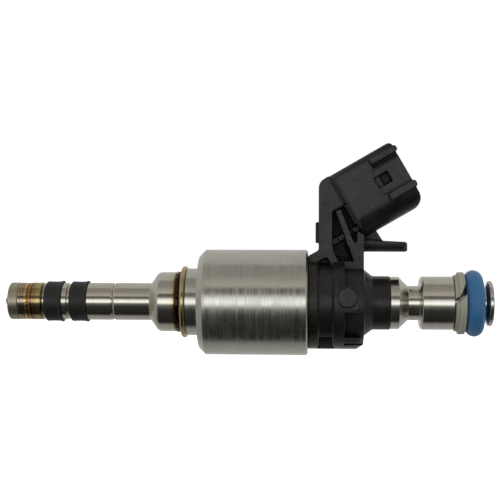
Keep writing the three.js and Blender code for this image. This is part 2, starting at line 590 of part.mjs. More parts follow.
function connectorOvermould() {
  const { floor, mouth, back, halfDepth, wall } = PLUG;
  const m = MOULD;
  const spine = plate([
    [SHELL_FRONT, 1 - m.radius], [SHELL_FRONT, -m.radius], [m.chamferStart, -m.radius],
    [m.chamferEnd, -m.chamferRadius], [m.chamferEnd, -7],
  ], -m.webHalf, m.webHalf);
  const postBoss = block([POST.front - 0.6, -2.6, 11.6], [POST.front + 0.3, 2.6, 15.6]);
  const sideBoss = new THREE.CylinderGeometry(PAD.bossRadius, PAD.bossRadius, 1.6, MEDIUM)
    .translate(PAD.bossX, 0.55 - m.radius, PAD.bossZ);
  const terminalBar = plugBlock([1.55, 2.6], [-2.9, 2.9], [18.4, 25.6]);
  const round = join(mouldBarrel(), spine, postBoss, sideBoss, terminalBar, ...clockingArm());
  const shell = cut(join(plugPrism(0, back, mouth), ...plugRibs()), ...lipReliefs());
  const windows = [
    ...onBothSides((low, high) => block([23.15, low, -10], [25.8, high, -6.25]), m.webHalf, 7),
    ...onBothSides(
      (low, high) => plugBlock([6.6, 8.8], [low, high], [32.85, 35.55]), halfDepth - 0.9, halfDepth + 1,
    ),
  ];
  const hollows = leads.flatMap((lead) => [...leadBlocks(lead, CAST_GAP), bladeBlock(lead, CAST_GAP)]);
  const whole = rearPads().reduce((all, pad) => all.add(pad), round.add(bracket()).add(shell));
  addBlackPlastic('connector_overmould', cut(
    whole, ...windows, plugPrism(wall, floor, mouth + 1), ...hollows,
    tube(m.front - 1, m.neckEnd + 1, 0, m.bore, MEDIUM),
  ));
}

function terminals() {
  for (const lead of leads) {
    add(`coil_lead_${lead.name}`, join(...leadBlocks(lead, 0)), 0xb98a4a, 0.35, 1);
    add(`terminal_blade_${lead.name}`, bladeBlock(lead, 0), 0xc9c6bd, 0.3, 1);
  }
}

valveSeat();
nozzleBody();
valveBody();
combustionSeal('front_combustion_seal', SEAL.xs[0]);
combustionSeal('rear_combustion_seal', SEAL.xs[1]);
needleGuide('lower_needle_guide', GUIDES.lower);
needleGuide('upper_needle_guide', GUIDES.upper);
valveSleeve();
collarRing();
needleGroup();
armature();
spring('armature_spring', ARMATURE_SPRING);
spring('return_spring', RETURN_SPRING);
poleCore();
adjustingSleeve();
solenoidCan();
coil();
fluxWasher();
inletTube();
inletFilter();
backupRing();
inletORing();
connectorOvermould();
terminals();

export default injector;
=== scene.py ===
"""The looks of a direct-injection petrol injector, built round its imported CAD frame.

Shapes are drawn in millimetres, in the frame's own axes: X along the injector from tip to inlet, Z up to
the connector. Each visible piece stands for one CAD node, and rides on that node's body.
"""

import json
import math

import bmesh
import bpy
import numpy as np
from mathutils import Matrix, Vector, noise


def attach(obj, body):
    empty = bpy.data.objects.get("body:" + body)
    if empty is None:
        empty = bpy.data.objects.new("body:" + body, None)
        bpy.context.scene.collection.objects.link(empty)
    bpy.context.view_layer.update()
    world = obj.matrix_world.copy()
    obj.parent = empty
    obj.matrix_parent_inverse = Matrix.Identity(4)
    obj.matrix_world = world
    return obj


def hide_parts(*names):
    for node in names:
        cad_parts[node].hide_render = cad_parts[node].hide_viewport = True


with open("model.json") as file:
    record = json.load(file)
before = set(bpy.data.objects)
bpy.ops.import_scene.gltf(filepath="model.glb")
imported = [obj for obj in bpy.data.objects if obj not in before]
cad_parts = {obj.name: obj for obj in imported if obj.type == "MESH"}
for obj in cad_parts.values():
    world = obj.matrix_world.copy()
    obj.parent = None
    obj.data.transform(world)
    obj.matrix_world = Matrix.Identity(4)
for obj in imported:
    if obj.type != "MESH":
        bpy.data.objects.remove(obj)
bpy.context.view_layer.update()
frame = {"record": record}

MM = 0.001
SLOTS = {s["node"]: s["material_slot"] for s in frame["record"]["subparts"]}
BODIES = {n: body for body, nodes in frame["record"]["behaviour"]["bodies"].items() for n in nodes}

# ---------------------------------------------------------------- outlines


def left_of(direction):
    return np.array([-direction[1], direction[0]])


def turned_by(direction, angle):
    c, s = math.cos(angle), math.sin(angle)
    return np.array([c * direction[0] - s * direction[1], s * direction[0] + c * direction[1]])


def rounded(corners, closed=True, soft=0.0, step=15):
    """Corners (a, b) or (a, b, fillet) as points of a smooth outline, each with the surface's normal
    before it and after it. The solid lies to the right of the path."""
    points = [np.array(c[:2], float) for c in corners]
    fillets = [c[2] if len(c) > 2 else soft for c in corners]
    count = len(points)
    if not closed:
        fillets[0] = fillets[-1] = 0
    outline = []
    for i, point in enumerate(points):
        before = point - points[i - 1]
        after = points[(i + 1) % count] - point
        if not closed and i == 0:
            before = after
        if not closed and i == count - 1:
            after = before
        room_before, room_after = np.linalg.norm(before), np.linalg.norm(after)
        before, after = before / room_before, after / room_after
        turn = math.atan2(before[0] * after[1] - before[1] * after[0], float(before @ after))
        if fillets[i] == 0 or abs(turn) < 0.01:
            outline.append((point, left_of(before), left_of(after)))
            continue
        share = math.tan(abs(turn) / 2)
        room_before *= 0.5 if fillets[i - 1] else 1
        room_after *= 0.5 if fillets[(i + 1) % count] else 1
        radius = min(fillets[i], min(room_before, room_after) / share)
        side = -1 if turn > 0 else 1
        centre = point - before * radius * share - left_of(before) * radius * side
        steps = max(2, math.ceil(math.degrees(abs(turn)) / step))
        for k in range(steps + 1):
            normal = turned_by(left_of(before), turn * k / steps)
            outline.append((centre + normal * radius * side, normal, normal))
    return outline


def drawn(corners, soft=0.0, step=15):
    return [tuple(point) for point, _, _ in rounded(corners, True, soft, step)]


def circle(a, b, radius, steps):
    return [
        (a + radius * math.cos(t), b + radius * math.sin(t))
        for t in np.linspace(0, -2 * math.pi, steps, endpoint=False)
    ]


# ---------------------------------------------------------------- meshes


def new_object(name, vertices, faces):
    mesh = bpy.data.meshes.new(name)
    mesh.from_pydata([tuple(v) for v in vertices], [], faces)
    mesh.update()
    obj = bpy.data.objects.new(name, mesh)
    bpy.context.scene.collection.objects.link(obj)
    return obj


def outwards(obj):
    """Points every face of a closed mesh outwards."""
    bm = bmesh.new()
    bm.from_mesh(obj.data)
    bmesh.ops.recalc_face_normals(bm, faces=bm.faces)
    bm.to_mesh(obj.data)
    bm.free()
    return obj


def baked(obj):
    """Applies the modifiers of obj."""
    depsgraph = bpy.context.evaluated_depsgraph_get()
    mesh = bpy.data.meshes.new_from_object(obj.evaluated_get(depsgraph))
    obj.modifiers.clear()
    obj.data = mesh
    return obj


def lathe(name, corners, soft=0.06, steps=144, bulge=None, angle_step=15):
    """A body of revolution about X, from corners (x, radius[, fillet]) that run up its outside and back
    down its inside. bulge(x, angle) adds to the radius."""
    closed = corners[0][1] > 0
    outline = rounded(corners, closed, soft, angle_step)
    angles = np.linspace(0, 2 * math.pi, steps, endpoint=False)
    vertices, first = [], []
    for (x, radius), _, _ in outline:
        first.append(len(vertices))
        if radius < 1e-6:
            vertices.append((x, 0, 0))
            continue
        for angle in angles:
            r = radius + (bulge(x, angle) if bulge else 0)
            vertices.append((x, r * math.sin(angle), r * math.cos(angle)))
    faces, normals = [], []
    count = len(outline)
    for i in range(count if closed else count - 1):
        j = (i + 1) % count
        (start, _, n_start), (end, n_end, _) = outline[i], outline[j]
        if np.linalg.norm(end - start) < 1e-6:
            continue
        for k in range(steps):
            m = (k + 1) % steps
            ring = [(i, k, n_start), (j, k, n_end), (j, m, n_end), (i, m, n_start)]
            if start[1] < 1e-6:
                ring.pop(3)
            elif end[1] < 1e-6:
                ring.pop(2)
            face = []
            for row, column, normal in ring:
                pole = outline[row][0][1] < 1e-6
                face.append(first[row] + (0 if pole else column))
                turned = angles[column]
                normals.append((normal[0], normal[1] * math.sin(turned), normal[1] * math.cos(turned)))
            faces.append(face)
    obj = new_object(name, vertices, faces)
    obj.data.polygons.foreach_set("use_smooth", [True] * len(obj.data.polygons))
    if bulge:
        obj.data.set_sharp_from_angle(angle=math.radians(40))
    else:
        obj.data.normals_split_custom_set(normals)
    return obj


def side_view(x, z, y):
    return (x, y, z)


TILT = math.radians(30)
PLUG_X = 9.7


def in_plug(u, v, y):
    """A place in the plug's own axes: u runs out of its mouth, v across it."""
    return (PLUG_X + u * math.cos(TILT) - v * math.sin(TILT), y, u * math.sin(TILT) + v * math.cos(TILT))


def plug_point(u, v):
    x, _, z = in_plug(u, v, 0)
    return (x, z)


def across_plug(v, y, u):
    return in_plug(u, v, y)


def along_plug(u, y, v):
    return in_plug(u, v, y)


def across_injector(y, z, x):
    return (x, y, z)


def extruded(outline, low, high, place=side_view):
    count = len(outline)
    vertices = [place(a, b, level) for level in (low, high) for a, b in outline]
    faces = [list(range(count)), list(range(count, 2 * count))]
    faces += [[i, (i + 1) % count, count + (i + 1) % count, count + i] for i in range(count)]
    return outwards(new_object("solid", vertices, faces))


def block(low, high):
    (x0, y0, z0), (x1, y1, z1) = low, high
    return extruded([(x0, z0), (x0, z1), (x1, z1), (x1, z0)], y0, y1)


def both_sides(make, inner, outer):
    return [make(-outer, -inner), make(inner, outer)]


def boolean(obj, tools, operation):
    for tool in tools:
        modifier = obj.modifiers.new("Boolean", "BOOLEAN")
        modifier.operation = operation
        modifier.solver = "MANIFOLD"
        modifier.object = tool
    baked(obj)
    for tool in tools:
        bpy.data.objects.remove(tool)
    return obj


def joined(first, *others):
    return boolean(first, others, "UNION")


def cut(obj, *tools):
    return boolean(obj, tools, "DIFFERENCE")


def kept(obj, *tools):
    return boolean(obj, tools, "INTERSECT")


def smooth_shaded(obj, angle=35):
    obj.data.polygons.foreach_set("use_smooth", [True] * len(obj.data.polygons))
    obj.data.set_sharp_from_angle(angle=math.radians(angle))
    modifier = obj.modifiers.new("Weighted", "WEIGHTED_NORMAL")
    modifier.keep_sharp = True
    return baked(obj)


def bevelled(obj, width):
    modifier = obj.modifiers.new("Bevel", "BEVEL")
    modifier.width = width
    modifier.segments = 2
    modifier.limit_method = "ANGLE"
    modifier.angle_limit = math.radians(35)
    return smooth_shaded(baked(obj))


def moulded(obj, voxel, share):
    """Rounds every edge a little, as a mould does: remeshed fine, relaxed, then thinned out."""
    remesh = obj.modifiers.new("Remesh", "REMESH")
    remesh.mode = "VOXEL"
    remesh.voxel_size = voxel
    relax = obj.modifiers.new("Smooth", "SMOOTH")
    relax.factor = 0.5
    relax.iterations = 4
    thin = obj.modifiers.new("Decimate", "DECIMATE")
    thin.ratio = share
    return smooth_shaded(baked(obj), 60)


def place(obj, node):
    """Puts a piece drawn in millimetres in the frame, in place of a CAD node."""
    obj.name = f"{node}_fine"
    obj.data.transform(Matrix.Scale(MM, 4))
    obj.data.materials.clear()
    obj.data.materials.append(FINISHES[SLOTS[node]])
    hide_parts(node)
    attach(obj, BODIES[node])


# ---------------------------------------------------------------- finishes


class Finish:
    """A node material, with short ways to add its nodes."""

    def __init__(self, name, **settings):
        self.material = bpy.data.materials.new(name)
        self.material.use_nodes = True
        self.tree = self.material.node_tree
        self.shader = self.tree.nodes["Principled BSDF"]
        for key, value in settings.items():
            self.shader.inputs[key].default_value = value
        coordinates = self.tree.nodes.new("ShaderNodeTexCoord")
        metres = coordinates.outputs["Object"]
        self.place = self.add("ShaderNodeVectorMath", metres, (1000, 1000, 1000), operation="MULTIPLY")

    def add(self, kind, *inputs, **settings):
        node = self.tree.nodes.new(kind)
        for key, value in settings.items():
            setattr(node, key, value)
        for i, value in enumerate(inputs):
            self.feed(node.inputs[i], value)
        return node.outputs[0]

    def feed(self, socket, value):
        if isinstance(value, bpy.types.NodeSocket):
            self.tree.links.new(value, socket)
        else:
            socket.default_value = value

    def set(self, name, value):
        self.feed(self.shader.inputs[name], value)

    def scaled(self, x, y, z):
        return self.add("ShaderNodeVectorMath", self.place, (x, y, z), operation="MULTIPLY")

    def noise(self, vector, detail=3.0, roughness=0.55):
        node = self.tree.nodes.new("ShaderNodeTexNoise")
        self.feed(node.inputs["Vector"], vector)
        node.inputs["Scale"].default_value = 1.0
        node.inputs["Detail"].default_value = detail
        node.inputs["Roughness"].default_value = roughness
        return node.outputs[0]

    def ramp(self, factor, stops):
        node = self.tree.nodes.new("ShaderNodeValToRGB")
        elements = node.color_ramp.elements
        for position, color in stops[2:]:
            elements.new(position)
        for element, (position, color) in zip(sorted(elements, key=lambda e: e.position), stops):
            element.position = position
        for element, (position, color) in zip(elements, stops):
            element.color = (*color, 1)
        self.feed(node.inputs["Fac"], factor)
        return node.outputs["Color"]

    def span(self, value, low, high, to_low, to_high):
        return self.add("ShaderNodeMapRange", value, low, high, to_low, to_high)

    def mixed(self, factor, one, other, kind="MIX"):
        node = self.tree.nodes.new("ShaderNodeMix")
        node.data_type = "RGBA"
        node.blend_type = kind
        self.feed(node.inputs[0], factor)
        self.feed(node.inputs[6], one)
        self.feed(node.inputs[7], other)
        return node.outputs[2]

    def math(self, operation, *inputs):
        return self.add("ShaderNodeMath", *inputs, operation=operation)

    def bump(self, height, microns):
        node = self.tree.nodes.new("ShaderNodeBump")
        node.inputs["Strength"].default_value = 1.0
        node.inputs["Distance"].default_value = microns * 1e-6
        self.feed(node.inputs["Height"], height)
        return node.outputs["Normal"]


def shade(color, amount):
    return tuple(min(c * amount, 1.0) for c in color) + (1,)


def turned_steel(name, color, roughness, spread, grain, depth, anisotropy=0.75, tints=None):
    """Steel with fine lines round X. grain is lines per millimetre, depth their height in microns."""
    f = Finish(name, Metallic=1.0, Anisotropic=anisotropy, **{"Anisotropic Rotation": 0.25})
    tangent = f.tree.nodes.new("ShaderNodeTangent")
    tangent.direction_type = "RADIAL"
    tangent.axis = "X"
    f.set("Tangent", tangent.outputs[0])
    lines = f.noise(f.scaled(grain, 0.08, 0.08), 4.0, 0.7)
    wide_lines = f.noise(f.scaled(grain * 0.22, 0.05, 0.05), 2.0)
    cloud = f.noise(f.scaled(0.35, 0.35, 0.35), 4.0, 0.6)
    marks = f.math("ADD", f.math("MULTIPLY", lines, 0.7), f.math("MULTIPLY", wide_lines, 0.3))
    tone = f.mixed(f.span(marks, 0.35, 0.65, 0, 1), shade(color, 0.9), shade(color, 1.08))
    yellowed = (color[0], color[1] * 0.985, color[2] * 0.95)
    tone = f.mixed(f.span(cloud, 0.35, 0.7, 0, 0.35), tone, shade(yellowed, 0.9))
    if tints:
        tone = tints(f, tone)
    f.set("Base Color", tone)
    patchy = f.span(cloud, 0.3, 0.7, -spread, spread)
    worn = f.math("ADD", patchy, f.span(marks, 0.35, 0.65, -2 * spread, 2 * spread))
    f.set("Roughness", f.math("ADD", worn, roughness))
    f.set("Normal", f.bump(marks, depth))
    return f.material


def along(f, low, high, waver):
    """0 to 1 along X between two places, with an uneven edge."""
    parts = f.tree.nodes.new("ShaderNodeSeparateXYZ")
    f.feed(parts.inputs[0], f.place)
    wander = f.noise(f.scaled(0.25, 0.45, 0.45))
    position = f.math("ADD", parts.outputs[0], f.span(wander, 0.3, 0.7, -waver, waver))
    return f.span(position, low, high, 0, 1)


def heat_bands(f, low, high, waver, bands):
    """Colours of heat tints along X, from bands of (x, colour)."""
    stops = [((x - low) / (high - low), color) for x, color in bands]
    return f.ramp(along(f, low, high, waver), stops)


def recess_shade(f, reach):
    """1 on open faces, less inside recesses and in corners, for painting shade there; reach is in
    millimetres.
    """
    node = f.tree.nodes.new("ShaderNodeAmbientOcclusion")
    node.samples = 8
    node.inputs["Distance"].default_value = reach / 1000
    return node.outputs["AO"]


def moulded_plastic(name, color, roughness, depth=26.0, mottle=0.35):
    f = Finish(name, **{"Sheen Weight": 0.3, "Sheen Roughness": 0.25})
    grain = f.noise(f.scaled(3.2, 3.2, 3.2), 5.0, 0.7)
    fibres = f.noise(f.scaled(0.9, 2.4, 1.1), 5.0, 0.7)
    flow = f.noise(f.scaled(0.13, 0.2, 0.15), 3.0, 0.55)
    blotches = f.noise(f.scaled(1.7, 1.7, 1.7), 4.0, 0.75)
    unshaded_share = recess_shade(f, 3.0)
    tone = f.mixed(f.span(fibres, 0.3, 0.7, 0, 1), shade(color, 1 - mottle), shade(color, 1 + mottle))
    tone = f.mixed(f.span(blotches, 0.42, 0.68, 0, 0.5), tone, shade(color, 1.9))
    tone = f.mixed(f.span(flow, 0.42, 0.6, 0, 0.6), tone, shade(color, 2.0))
    # Painted shade: the base colour goes darker inside recesses and corners.
    f.set("Base Color", f.mixed(f.span(unshaded_share, 0.35, 0.92, 1, 0), tone, shade(color, 0.35)))
    gloss = f.math("ADD", f.span(flow, 0.38, 0.62, 0.34, 0.5), f.span(blotches, 0.35, 0.65, -0.06, 0.08))
    # Painted shade as well: the specular is turned down inside recesses and corners.
    f.set("Specular IOR Level", f.math("MULTIPLY", f.span(unshaded_share, 0.35, 0.92, 0.15, 1.0), gloss))
    matt = f.math("ADD", f.span(grain, 0.3, 0.7, -0.06, 0.06), f.span(fibres, 0.3, 0.7, -0.06, 0.06))
    f.set("Roughness", f.math("ADD", matt, f.span(flow, 0.3, 0.7, roughness - 0.08, roughness + 0.08)))
    height = f.math("ADD", f.math("MULTIPLY", grain, 0.6), f.math("MULTIPLY", fibres, 0.4))
    f.set("Normal", f.bump(height, depth))
    return f.material


def elastomer(name, color, roughness, depth=2.0, sheen=0.0):
    f = Finish(name, **{"Sheen Weight": sheen, "Sheen Roughness": 0.5})
    dust = f.noise(f.scaled(1.1, 1.1, 1.1), 5.0, 0.7)
    fine = f.noise(f.scaled(9, 9, 9), 3.0, 0.6)
    f.set("Base Color", f.mixed(f.span(dust, 0.3, 0.7, 0, 1), shade(color, 0.9), shade(color, 1.12)))
    dusty = f.span(dust, 0.3, 0.7, roughness - 0.05, roughness + 0.05)
    f.set("Roughness", f.math("ADD", dusty, f.span(fine, 0.3, 0.7, -0.03, 0.03)))
    f.set("Normal", f.bump(fine, depth))
    return f.material


def drawn_metal(name, color, roughness, depth=0.8, dull=0.2):
    """Polished, drawn or stamped metal, with faint scratches and dull patches."""
    f = Finish(name, Metallic=1.0)
    cloud = f.noise(f.scaled(0.8, 0.8, 0.8), 4.0, 0.6)
    scratches = f.noise(f.scaled(1.2, 14, 14), 4.0, 0.6)
    f.set("Base Color", f.mixed(f.span(cloud, 0.35, 0.7, 0, 1), shade(color, 1.0), shade(color, 1 - dull)))
    patchy = f.span(cloud, 0.3, 0.7, roughness - 0.05, roughness + 0.08)
    f.set("Roughness", f.math("ADD", patchy, f.span(scratches, 0.3, 0.7, -0.03, 0.03)))
    f.set("Normal", f.bump(scratches, depth))
    return f.material


def weld_fringe(f, tone):
    """Burnt nearly black at the joint in front of the collar, and tinted by heat behind the tip."""
    stops = [
        (0.0, (1.0, 1.0, 1.0)), (0.46, (1.0, 0.98, 0.93)), (0.56, (0.85, 0.66, 0.42)),
        (0.61, (0.42, 0.22, 0.12)), (0.66, (0.15, 0.075, 0.045)), (0.71, (0.07, 0.045, 0.035)),
        (0.96, (0.05, 0.035, 0.03)), (1.0, (0.12, 0.08, 0.05)),
    ]
    burnt = f.ramp(along(f, -6.2, -3.6, 0.07), stops)
    specks = f.ramp(f.noise(f.scaled(2.6, 2.6, 2.6), 2.0), [(0.64, (0, 0, 0)), (0.72, (1, 1, 1))])
    burnt = f.mixed(f.math("MULTIPLY", specks, 0.5), burnt, (0.8, 0.6, 0.35, 1))
    front = heat_bands(f, -38, -30, 0.11, [
        (-38, (1, 1, 1)), (-35.7, (0.2, 0.15, 0.1)), (-35.45, (0.82, 0.74, 0.62)), (-35.2, (0.7, 0.57, 0.4)),
        (-34.9, (0.55, 0.41, 0.25)), (-34.6, (0.78, 0.69, 0.58)), (-34.41, (0.3, 0.19, 0.26)),
        (-34.25, (1.0, 0.95, 0.85)), (-34.05, (1.0, 0.8, 0.28)), (-33.85, (0.9, 0.48, 0.12)),
        (-33.75, (0.4, 0.14, 0.08)), (-33.5, (0.72, 0.34, 0.1)), (-33.3, (0.85, 0.5, 0.14)),
        (-33.12, (0.3, 0.2, 0.2)), (-32.85, (0.26, 0.21, 0.18)), (-32.7, (0.58, 0.48, 0.3)),
        (-32.3, (0.62, 0.46, 0.2)), (-31.7, (0.85, 0.67, 0.32)), (-31.3, (0.74, 0.6, 0.33)),
        (-31.05, (0.4, 0.34, 0.26)), (-30.6, (1, 1, 1)),
    ])
    return f.mixed(1.0, f.mixed(1.0, tone, front, "MULTIPLY"), burnt, "MULTIPLY")


def straw(f, tone):
    patches = f.noise(f.scaled(0.5, 0.3, 0.3), 3.0)
    tint = f.mixed(f.span(patches, 0.3, 0.7, 0, 1), (0.95, 0.78, 0.45, 1), (0.95, 0.9, 0.75, 1))
    return f.mixed(1.0, tone, tint, "MULTIPLY")


def copper_turns():
    f = Finish("copper_winding", Metallic=1.0, **{"Coat Weight": 0.6, "Coat Roughness": 0.15})
    turns = f.noise(f.scaled(2.6, 0.3, 0.3), 2.0)
    f.set("Base Color", f.mixed(f.span(turns, 0.3, 0.7, 0, 1), (0.5, 0.17, 0.06, 1), (0.72, 0.33, 0.15, 1)))
    f.set("Roughness", f.span(turns, 0.3, 0.7, 0.22, 0.36))
    f.set("Normal", f.bump(turns, 2.0))
    return f.material


def woven_wire():
    f = Finish("filter_mesh", Metallic=1.0)
    wires = [f.add("ShaderNodeTexWave", f.scaled(*axes), 1.0) for axes in ((7, 0, 0), (0, 7, 7))]
    weave = f.math("MAXIMUM", *[f.math("ABSOLUTE", f.span(w, 0, 1, -1, 1)) for w in wires])
    f.set("Base Color", f.mixed(weave, (0.08, 0.08, 0.08, 1), (0.55, 0.55, 0.53, 1)))
    f.set("Roughness", f.span(weave, 0, 1, 0.6, 0.3))
    f.set("Normal", f.bump(weave, 20.0))
    return f.material


FINISHES = {
    "tip_steel": turned_steel("tip_steel", (0.50, 0.455, 0.345), 0.44, 0.03, 5, 2.5, 0.3),
    "nozzle_steel": turned_steel("nozzle_steel", (0.64, 0.615, 0.53), 0.16, 0.02, 7, 0.7, 0.7, weld_fringe),
    "sleeve_steel": turned_steel("sleeve_steel", (0.62, 0.605, 0.54), 0.24, 0.03, 6, 1.2),
    "collar_steel": turned_steel("collar_steel", (0.56, 0.50, 0.38), 0.2, 0.03, 6, 1.0, 0.7, straw),
    "can_steel": turned_steel("can_steel", (0.62, 0.61, 0.54), 0.31, 0.08, 4, 4.0),
    "inlet_steel": turned_steel("inlet_steel", (0.64, 0.62, 0.54), 0.19, 0.035, 6, 0.9, 0.7),
    "core_steel": turned_steel("core_steel", (0.46, 0.45, 0.44), 0.34, 0.04, 5, 2.0),
    "needle_steel": drawn_metal("needle_steel", (0.72, 0.71, 0.69), 0.14, 0.3, 0.08),
    "spring_steel": drawn_metal("spring_steel", (0.5, 0.5, 0.5), 0.28),
    "seal_black": elastomer("seal_black", (0.018, 0.0176, 0.0165), 0.5, 4.0),
    "o_ring_blue": elastomer("o_ring_blue", (0.05, 0.22, 0.49), 0.46, 1.5, 0.1),
    "backup_ring": elastomer("backup_ring", (0.55, 0.54, 0.435), 0.5, 3.0),
    "black_plastic": moulded_plastic("black_plastic", (0.0145, 0.0132, 0.0112), 0.35),
    "bobbin_plastic": moulded_plastic("bobbin_plastic", (0.06, 0.05, 0.04), 0.5),
    "filter_plastic": moulded_plastic("filter_plastic", (0.5, 0.46, 0.36), 0.42, 6.0, 0.06),
    "copper_winding": copper_turns(),
    "filter_mesh": woven_wire(),
    "lead_bronze": drawn_metal("lead_bronze", (0.72, 0.48, 0.25), 0.3),
    "terminal_tin": drawn_metal("terminal_tin", (0.72, 0.71, 0.68), 0.25),
}

# ---------------------------------------------------------------- valve group


def bead_bulge(x, angle):
    """Ripples of a welded joint: the bead in front of the collar, and faintly the one behind the tip."""
    if -34.5 < x < -33.2:
        return 0.02 * noise.noise(Vector((x * 2.5, 9 * math.sin(angle), 9 * math.cos(angle))))
    if not -4.6 < x < -3.66:
        return 0
    fade = min(1, (x + 4.6) / 0.2, (-3.66 - x) / 0.12)
    ripple = noise.noise(Vector((x * 2.2, 3.1 * math.sin(angle) * 2, 3.1 * math.cos(angle) * 2)))
    rough = noise.noise(Vector((x * 7, 22 * math.sin(angle), 22 * math.cos(angle))))
    return fade * (0.09 * ripple + 0.05 * rough)


def valve_seat():
    blank = lathe("valve_seat", [
        (-38.7, 0), (-38.7, 0.5, 0.45), (-38.2, 0.9, 0.6), (-37.7, 1.05, 0.15), (-37.7, 2.9, 0.1),
        (-37.62, 3.0, 0.1), (-37.62, 3.64, 0.5), (-36.85, 3.64, 0.05), (-36.8, 3.61, 0.05),
        (-36.75, 3.64, 0.05), (-35.68, 3.64, 0.08),
        (-35.68, 2.6), (-33.4, 2.6), (-33.4, 1.75), (-35.2, 1.75), (-36.65, 0.4), (-37.6, 0.4, 0.15),
        (-37.9, 0),
    ])
    holes = []
    lean = math.radians(27)
    for i in range(6):
        hole = extruded(circle(0, 0, 0.12, 16), 0, 2.4, lambda a, b, h: (-h, a, b))
        around = Matrix.Rotation(i * math.pi / 3, 4, "X")
        hole.data.transform(around @ Matrix.Translation((-37.35, 0, 0)) @ Matrix.Rotation(lean, 4, "Y"))
        holes.append(hole)
    place(smooth_shaded(cut(blank, *holes), 30), "valve_seat")


def nozzle():
    place(lathe("nozzle_body", [
        (-35.63, 2.65), (-35.63, 3.62, 0.12), (-34.75, 3.63, 0.4), (-34.45, 3.6, 0.3), (-34.1, 3.56, 0.5),
        (-33.8, 3.63, 0.2), (-33.6, 3.57, 0.12), (-33.25, 3.65, 0.12), (-31.04, 3.65, 0.04),
        (-31.0, 2.85, 0.04), (-30.66, 2.85, 0.04), (-30.62, 3.5, 0.05), (-30.43, 3.5, 0.05), (-30.43, 3.0),
        (-27.0, 3.0), (-27.0, 3.62, 0.08), (-26.05, 3.62, 0.08), (-26.0, 2.85, 0.04), (-25.7, 2.85, 0.04),
        (-25.66, 3.5, 0.05), (-25.45, 3.5, 0.05), (-25.45, 3.0), (-22.03, 3.0), (-22.03, 3.65, 0.06),
        (-17.3, 3.65, 0.3), (-16.95, 3.45, 0.1), (-16.95, 2.8), (-19.5, 2.8), (-19.5, 2.0), (-31.5, 2.0),
        (-31.5, 2.65),
    ], steps=288, bulge=bead_bulge), "nozzle_body")
    bead = [(-4.6 + 0.1 * k, 5.8 + (0.1 if 2 <= k <= 8 else 0), 0) for k in range(10)]
    place(lathe("valve_body", [
        (-19.3, 2.0), (-19.3, 2.72), (-16.9, 2.72), (-16.9, 3.45, 0.1), (-16.6, 3.65, 0.25),
        (-9.63, 3.65, 0.12), (-8.04, 5.8, 1.27), (-5.2, 5.8), *bead, (-3.62, 5.8), (-3.62, 4.35),
        (-7.0, 4.35), (-7.0, 3.3), (-8.0, 3.3), (-9.63, 2.0),
    ], steps=288, bulge=bead_bulge, angle_step=6), "valve_body")


def combustion_seal(node, front):
    rear = front + 3.27
    place(lathe(node, [
        (front, 3.06), (front, 3.93, 0.3), (front + 1.7, 3.87, 6.0), (rear - 0.5, 3.91, 1.5),
        (rear - 0.12, 4.06, 0.08), (rear, 4.02, 0.05), (rear, 3.06),
    ]), node)


def needle_guide(node, front, rear, outer):
    disc = lathe(node, [(front, 1.06), (front, outer, 0.1), (rear, outer, 0.1), (rear, 1.06)])
    slots = []
    for t in (0, math.pi / 2, math.pi, 1.5 * math.pi):
        edge = circle(outer * math.sin(t), outer * math.cos(t), 0.5, 24)
        slots.append(extruded(edge, front - 1, rear + 1, across_injector))
    place(smooth_shaded(cut(disc, *slots), 30), node)


def valve_group():
    valve_seat()
    nozzle()
    combustion_seal("front_combustion_seal", -30.33)
    combustion_seal("rear_combustion_seal", -25.35)
    needle_guide("lower_needle_guide", -33.2, -31.6, 2.58)
    needle_guide("upper_needle_guide", -5.4, -3.6, 2.62)
    place(lathe("collar_ring", [
        (-3.5, 5.45), (-3.5, 7.0, 0.5), (-2.5, 7.0, 0.48), (-2.5, 5.45),
    ]), "collar_ring")
    place(lathe("valve_sleeve", [
        (-6.8, 2.7), (-6.8, 4.28, 0.15), (-3.57, 4.28), (-3.57, 5.4), (-2.45, 5.4), (-2.45, 6.55, 0.1),
        (1.9, 6.55), (1.9, 5.4), (7.6, 5.4), (7.6, 4.35), (0.6, 4.35), (0.6, 2.7),
    ]), "valve_sleeve")
    place(lathe("valve_needle", [
        (-33.53, 0), (-33.53, 1.0, 0.05), (9.9, 1.0, 0.3), (9.9, 0),
    ], steps=48), "valve_needle")
    place(lathe("needle_ball", [
        (-36.38, 0), (-36.38, 1.4, 1.4), (-33.58, 1.4, 1.4), (-33.58, 0),
    ], steps=96), "needle_ball")
    for node, front, rear, radius in (
        ("needle_lower_collar", 0.9, 1.5, 2.5), ("needle_upper_collar", 8.24, 9.0, 1.9),
    ):
        corners = [(front, 1.05), (front, radius, 0.15), (rear, radius, 0.15), (rear, 1.05)]
        place(lathe(node, corners, steps=64), node)
    blank = lathe("armature", [(3.4, 1.08), (3.4, 4.2, 0.35), (8.18, 4.2, 0.35), (8.18, 1.08)], steps=96)
    holes = []
    for t in np.linspace(0, 2 * math.pi, 6, endpoint=False):
        edge = circle(2.7 * math.sin(t), 2.7 * math.cos(t), 0.55, 24)
        holes.append(extruded(edge, 2.5, 9, across_injector))
    place(smooth_shaded(cut(blank, *holes), 30), "armature")


